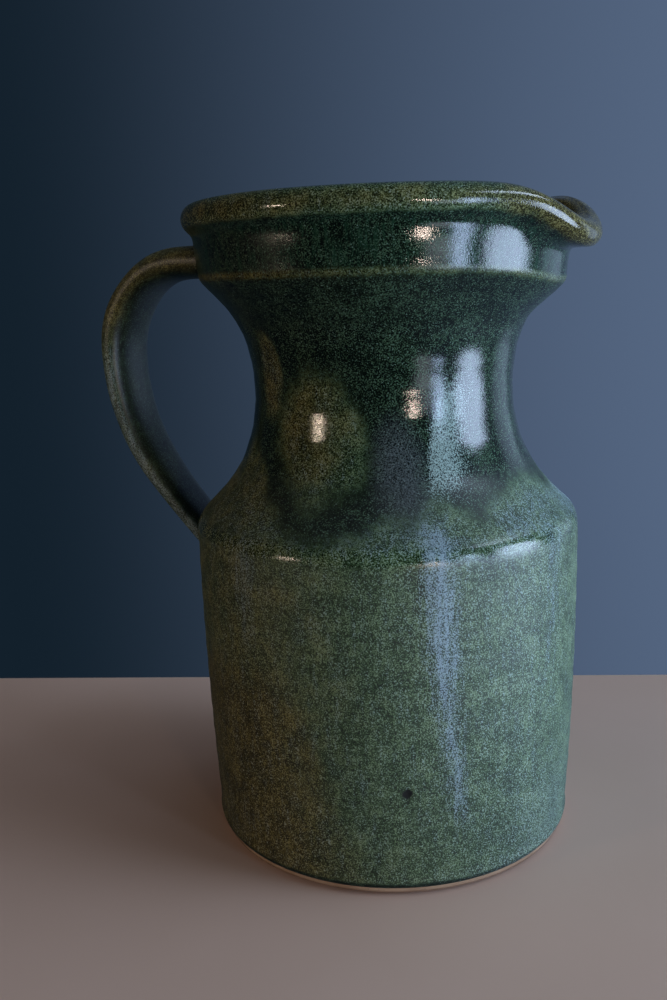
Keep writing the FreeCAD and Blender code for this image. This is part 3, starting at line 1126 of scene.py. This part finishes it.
@dataclass
class StrapHandle:
    """The pulled strap: an oval section carried along its bow, with luted, flared ends."""

    form: ThrownForm
    bow: tuple[tuple[float, float], ...] = (
        (46.0, 177.6), (62.0, 178.4), (76.0, 176.8), (87.4, 168.6), (93.4, 158.0),
        (94.7, 146.0), (92.7, 132.0), (87.0, 117.4), (77.8, 104.0), (66.8, 91.4),
        (44.0, 66.4),
    )
    top_size: tuple[float, float] = (23.0, 10.4)
    foot_size: tuple[float, float] = (14.5, 5.8)
    coat: float = 0.5
    fillet: float = 3.5
    taper: float = 1.15
    sunk: float = 1.0
    around: int = 88
    along: int = 230
    squareness: float = 0.84
    groove: float = 0.16

    def build(self, name: str, skin: float) -> bpy.types.Object:
        """The strap as one closed surface.

        At each place along the bow the section is w/2 |cos|^q across the jug and
        t/2 |sin|^q through the strap, with a shallow groove down its outer face. Near
        the wall each point is swept sideways along the wall by R - sqrt(R^2 - (R - d)^2),
        where d is its distance from the wall, which gives a fillet of radius R.

        Args:
            name: The piece's name.
            skin: How far the section is moved out, for the clay 0 and for the glaze its coat.

        Returns:
            The new object.
        """
        line = resampled(spline(self.bow), self.along)
        share = arc_length(line) / arc_length(line)[-1]
        centre = np.stack([-line[:, 0], np.zeros(len(line)), line[:, 1]], axis=1)
        tangent = np.gradient(centre, axis=0)
        tangent /= np.linalg.norm(tangent, axis=1, keepdims=True)
        across = np.array([0.0, 1.0, 0.0])
        outer = np.cross(across, tangent)
        drawn = share**self.taper
        width = self.top_size[0] + (self.foot_size[0] - self.top_size[0]) * drawn
        depth = self.top_size[1] + (self.foot_size[1] - self.top_size[1]) * drawn
        depth = depth * (1.0 + 0.03 * np.sin(share * 23.0) + 0.02 * np.sin(share * 41.0 + 1.0))
        turn = np.linspace(0.0, 2.0 * np.pi, self.around, endpoint=False)
        cos, sin = np.cos(turn), np.sin(turn)
        flat = np.sign(cos) * np.abs(cos) ** self.squareness
        thick = np.sign(sin) * np.abs(sin) ** self.squareness
        dent = 1.0 - self.groove * np.exp(-((cos / 0.42) ** 2)) * (sin < 0.0)
        wide = flat[:, None] * (width / 2 + skin)[None, :]
        deep = (thick * dent)[:, None] * (depth / 2 + skin)[None, :]
        offset = wide[..., None] * across - deep[..., None] * outer[None]
        points = centre[None] + offset
        points = self.luted(points, offset, skin)
        piece = mesh_from_grid(name, points, True, False, True, True)
        self.write_fields(piece, points, flat, thick)
        return piece

    def luted(self, points: Array, offset: Array, skin: float) -> Array:
        """Sweeps the strap's ends out along the wall, and sinks what lies inside it.

        Args:
            points: The strap's points.
            offset: The part of each that leads away from the strap's middle line.
            skin: How far the section is moved out.

        Returns:
            The moved points.
        """
        distance, normal = self.off_wall(points, skin)
        near = np.clip(1.0 - distance / self.fillet, 0.0, 1.0)
        out = offset / (np.linalg.norm(offset, axis=-1, keepdims=True) + 1e-9)
        out = out - near[..., None] * (out * normal).sum(-1, keepdims=True) * normal
        out /= np.linalg.norm(out, axis=-1, keepdims=True) + 1e-9
        sweep = self.fillet * (1.0 - np.sqrt(np.clip(1.0 - near**2, 0.0, 1.0)))
        points = points + sweep[..., None] * out
        distance, normal = self.off_wall(points, skin)
        buried = np.minimum(distance + self.sunk, 0.0)
        return points - buried[..., None] * normal

    def off_wall(self, points: Array, skin: float) -> tuple[Array, Array]:
        """How far points stand off the jug's wall.

        The gap along the radius is divided by sqrt(1 + slope^2), slope being the wall's dR/dz.

        Args:
            points: Points in millimetres.
            skin: How far the wall is moved out first.

        Returns:
            The distances, and the wall's outward unit normals there.
        """
        outside = self.form.outside()
        slope = np.gradient(outside[:, 0], outside[:, 1])
        radius = np.hypot(points[..., 0], points[..., 1])
        wall = np.interp(points[..., 2], outside[:, 1], outside[:, 0]) + skin
        lean = np.clip(np.interp(points[..., 2], outside[:, 1], slope), -1.5, 1.5)
        distance = (radius - wall) / np.sqrt(1.0 + lean**2)
        unit = points[..., :2] / radius[..., None]
        normal = np.concatenate([unit, -lean[..., None]], axis=-1)
        return distance, normal / np.linalg.norm(normal, axis=-1, keepdims=True)

    def write_fields(self, piece: bpy.types.Object, points: Array, flat: Array, thick: Array) -> None:
        """Writes the glaze's fields on the strap.

        It is olive and thin on its edges near the top. Lower down its edges are painted milky grey as a
        painted sheen, and its inner face, which the neck shades, is painted dark bottle green as painted
        shade.

        Args:
            piece: The strap.
            points: Its points, shaped (around, along, 3).
            flat: How far across the strap each point of the section lies, -1 to 1.
            thick: How far through it, 1 on the face towards the jug.
        """
        height = points[..., 2]
        level = np.ones_like(height)
        inner = smoothstep(0.05, 0.6, thick)[:, None] * level
        edge = np.abs(flat)[:, None] ** 5 * level
        upper = smoothstep(135.0, 165.0, height)
        # Painted light: the milky colour on the lower edges is a painted sheen, and the dark second pour on
        # the inner face is painted shade.
        fields = {
            Field.SECOND_POUR: 0.62 * inner,
            Field.MILK: 0.62 * edge * (1.0 - upper),
            Field.OLIVE: 0.30 + 0.40 * smoothstep(145.0, 172.0, height),
            Field.THIN: 0.75 * edge * upper,
            Field.GLOSS: 0.30 * level,
        }
        for name, values in fields.items():
            add_field(piece, name.value, values)


# ---------------------------------------------------------------- floor, lights and camera


@dataclass(frozen=True)
class Softbox:
    """A soft lamp that faces the jug: where it stands, its size, power and warmth.

    Angles are degrees, lengths metres and power watts. A lamp that isn't mirrored only
    lights the jug, and its shape stays out of the gloss.
    """

    name: str
    azimuth: float
    elevation: float
    distance: float
    width: float
    height: float
    power: float
    tint: str = "ffffff"
    mirrored: bool = True
    aim_height: float = 0.12

    def build(self) -> None:
        """Adds the lamp. Its azimuth is the angle from +X, counter-clockwise from above."""
        lamp = bpy.data.lights.new(self.name, "AREA")
        lamp.shape = "ELLIPSE"
        lamp.size, lamp.size_y = self.width, self.height
        lamp.energy = self.power
        lamp.color = linear(self.tint)[:3]
        item = bpy.data.objects.new(self.name, lamp)
        turn, lift = math.radians(self.azimuth), math.radians(self.elevation)
        ahead = Vector((math.cos(turn) * math.cos(lift), math.sin(turn) * math.cos(lift), math.sin(lift)))
        item.visible_glossy = self.mirrored
        item.location = ahead * self.distance + Vector((0.0, 0.0, self.aim_height))
        item.rotation_euler = ahead.to_track_quat("Z", "Y").to_euler()
        bpy.context.scene.collection.objects.link(item)


@dataclass(frozen=True)
class Studio:
    """A pale floor, a soft sky and soft lamps. Lengths are metres and turns are degrees.

    The tall lamps stand for a window and the dimmer ones beside it, and the two small
    warm ones for room lamps: their mirror images are much of how the gloss looks.
    """

    floor_width: float = 0.42
    floor_front: float = 0.17
    floor_back: float = 0.105
    floor_turn: float = 20.0
    sky_dark: str = "13202b"
    sky_light: str = "5a6c88"
    sky_light_from: float = 40.0
    sky_change: tuple[float, float] = (-0.05, 0.75)
    lamps: tuple[Softbox, ...] = (
        Softbox("window_low", 7.5, -2.0, 1.00, 0.56, 0.74, 11.8, "c2d9fa"),
        Softbox("window_high", 11.0, 42.0, 1.10, 0.80, 0.11, 2.6, "cde1fb"),
        Softbox("window_narrow", -24.0, -5.0, 1.00, 0.13, 0.56, 2.8, "bcd6fc"),
        Softbox("window_dim", -36.0, -13.0, 1.00, 0.28, 0.38, 0.7, "ccd8e4"),
        Softbox("window_side", 52.0, 0.0, 1.00, 0.50, 0.70, 0.9, "b4cdee"),
        Softbox("fill_right", 70.0, 5.0, 1.30, 1.00, 1.00, 1.6, "c8dae6", False),
        Softbox("overhead", 10.0, 70.0, 1.50, 1.10, 1.10, 2.8, "e4eef8", False),
        Softbox("lamp_left", -127.0, 7.0, 1.10, 0.06, 0.07, 1.0, "ffe6cc"),
        Softbox("fill_left", -150.0, 22.0, 1.30, 1.20, 1.20, 1.7, "ffd8b4", False),
        Softbox("lamp_right", -46.5, -1.0, 1.10, 0.08, 0.075, 1.6, "ffe6d6"),
    )

    def build(self) -> None:
        """Adds the floor, the sky and the lamps."""
        across = np.linspace(-self.floor_width / 2, self.floor_width / 2, 3)
        ahead = np.linspace(-self.floor_front, self.floor_back, 3)
        u, v = np.meshgrid(across, ahead, indexing="ij")
        turn = math.radians(self.floor_turn)
        x = (u * math.cos(turn) - v * math.sin(turn)) / MM
        y = (u * math.sin(turn) + v * math.cos(turn)) / MM
        floor = mesh_from_grid("floor", np.stack([x, y, np.zeros_like(x)], axis=-1), False, False)
        floor.data.materials.append(PlainPaint("matt_floor_paint").material())
        floor.visible_glossy = False
        self.build_sky()
        bpy.context.scene.view_settings.view_transform = "Standard"
        for lamp in self.lamps:
            lamp.build()

    def build_sky(self) -> None:
        """Adds a plain sky, dark on the handle's side and lighter towards the window."""
        world = bpy.data.worlds.new("studio_sky")
        sky = NodeTree(world)
        turn = math.radians(self.sky_light_from)
        facing = sky.add(Step.FACING, sky.add(Step.SKYWARD), (math.cos(turn), math.sin(turn), 0.0))
        share = sky.add(Step.RAMP, facing, *self.sky_change)
        tint = sky.add(Step.BLEND, share, linear(self.sky_dark), linear(self.sky_light))
        sky.add(Step.WORLD_OUTPUT, sky.add(Step.GLOW, tint))
        bpy.context.scene.world = world


@dataclass(frozen=True)
class Camera:
    """The camera: it stands in front of the jug, a little left of square to the lip.

    Distances are metres. The yaw turns it from +Y towards -X, the pitch looks down and
    the roll tips it clockwise.
    """

    side: float = 0.0165
    distance: float = 0.3091
    height: float = 0.1706
    yaw: float = 24.0
    pitch: float = 12.31
    roll: float = -1.85
    lens: float = 36.0
    sensor: float = 36.0

    def build(self) -> None:
        """Adds the camera and makes it the scene's own."""
        data = bpy.data.cameras.new("camera")
        data.lens, data.sensor_width = self.lens, self.sensor
        data.clip_start, data.clip_end = 0.01, 20.0
        data.dof.use_dof = False
        item = bpy.data.objects.new("camera", data)
        turn = Matrix.Rotation(math.radians(self.yaw), 4, "Z")
        tilt = Matrix.Rotation(math.radians(90.0 - self.pitch), 4, "X")
        lean = Matrix.Rotation(math.radians(self.roll), 4, "Z")
        place = turn @ Vector((-self.side, -self.distance, self.height))
        item.matrix_world = Matrix.Translation(place) @ turn @ tilt @ lean
        bpy.context.scene.collection.objects.link(item)
        bpy.context.scene.camera = item


@dataclass
class Jug:
    """The whole jug: its clay, its coats, its handle and the slip that joins it."""

    form: ThrownForm = field(default_factory=ThrownForm)
    glaze_map: GlazeMap = field(default_factory=GlazeMap)

    def build(self) -> list[bpy.types.Object]:
        """Builds and dresses every piece, and gives them back in order."""
        clay = BareStoneware("bare_buff_stoneware").material()
        slip = BareStoneware("fired_joining_slip", 0.6).material()
        glaze = ReducedGlaze("reduced_green_iron_glaze").material()
        liner = ReducedGlaze("olive_liner_glaze", satin=0.3).material()
        body = ClayBody(self.form)
        coat = OuterCoat(self.form, self.glaze_map)
        lining = LinerCoat(self.form)
        strap = StrapHandle(self.form)
        pieces = [body.build(), coat.build(), lining.build()]
        body.dress(pieces[0], clay)
        coat.dress(pieces[1], glaze)
        lining.dress(pieces[2], liner)
        strap_clay = strap.build("strap_clay", 0.0)
        dress(strap_clay, clay, Slot.CLAY)
        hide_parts("pulled_handle")
        strap_coat = strap.build("strap_coat", strap.coat)
        dress(strap_coat, glaze, Slot.GREEN)
        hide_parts("handle_glaze")
        for node in ("handle_top_slip", "handle_foot_slip"):
            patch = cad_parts[node]
            patch.data.materials.clear()
            patch.data.materials.append(slip)
        return pieces + [strap_clay, strap_coat]


def main() -> None:
    """Builds the studio, the camera and the jug, and reports each piece."""
    Camera().build()
    Studio().build()
    for piece in Jug().build():
        report(piece)


if __name__ == "__main__":
    main()
